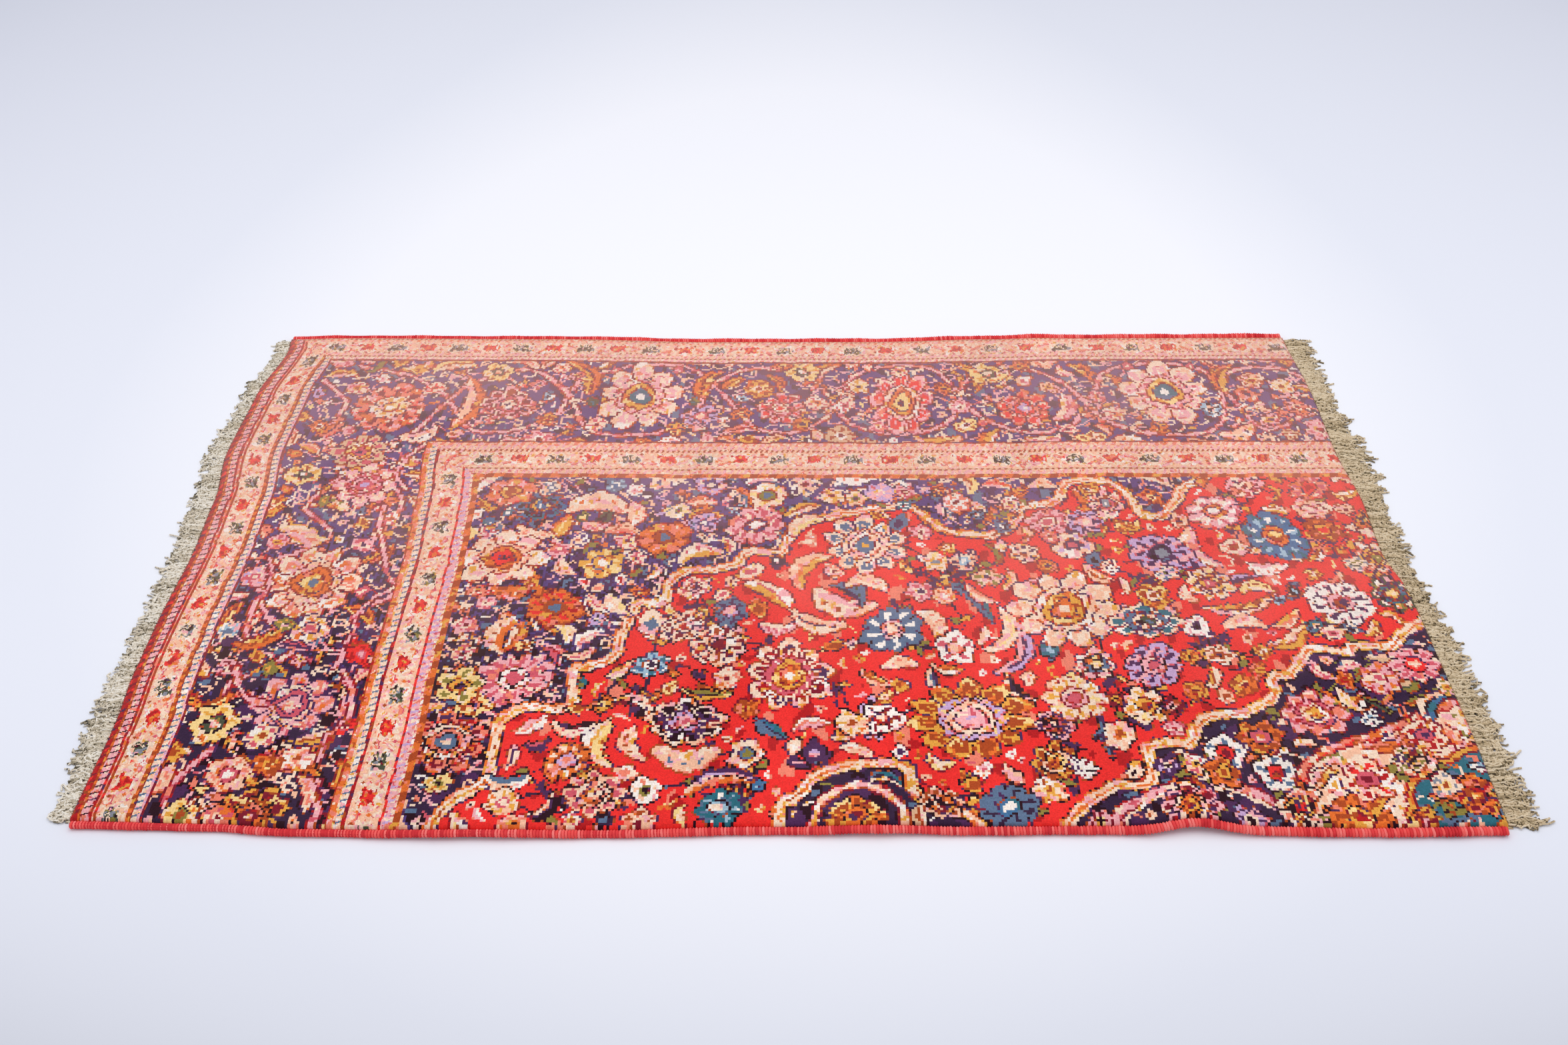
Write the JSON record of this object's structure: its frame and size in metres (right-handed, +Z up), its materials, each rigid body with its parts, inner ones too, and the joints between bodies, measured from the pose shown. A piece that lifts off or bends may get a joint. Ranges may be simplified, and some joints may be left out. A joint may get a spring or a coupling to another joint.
{
  "type": "persian rug",
  "caption": "Flat hand-knotted Persian rug showing a quarter of a floral medallion design, with overcast wool selvedges on the long edges and cotton warp fringe at both ends.",
  "frame": {"origin": "middle of the rug's outline, on the floor", "axes": "+X along the rug's long side towards the fringed end without a border, +Y across it towards the far border, +Z up out of the pile"},
  "size_m": [1.5918, 0.9346, 0.0156],
  "materials": {
    "pile_wool": "clipped wool pile in knotted rows, red field with indigo, ivory and gold floral pattern",
    "selvedge_wool": "red wool yarn overcast round a cord",
    "warp_cotton": "undyed twisted cotton warp, fuzzy"
  },
  "bodies": {
    "root": {"rug_body": "pile_wool", "selvedge_near": "selvedge_wool", "selvedge_far": "selvedge_wool", "fringe_left": "warp_cotton", "fringe_right": "warp_cotton"}
  },
  "joints": []
}
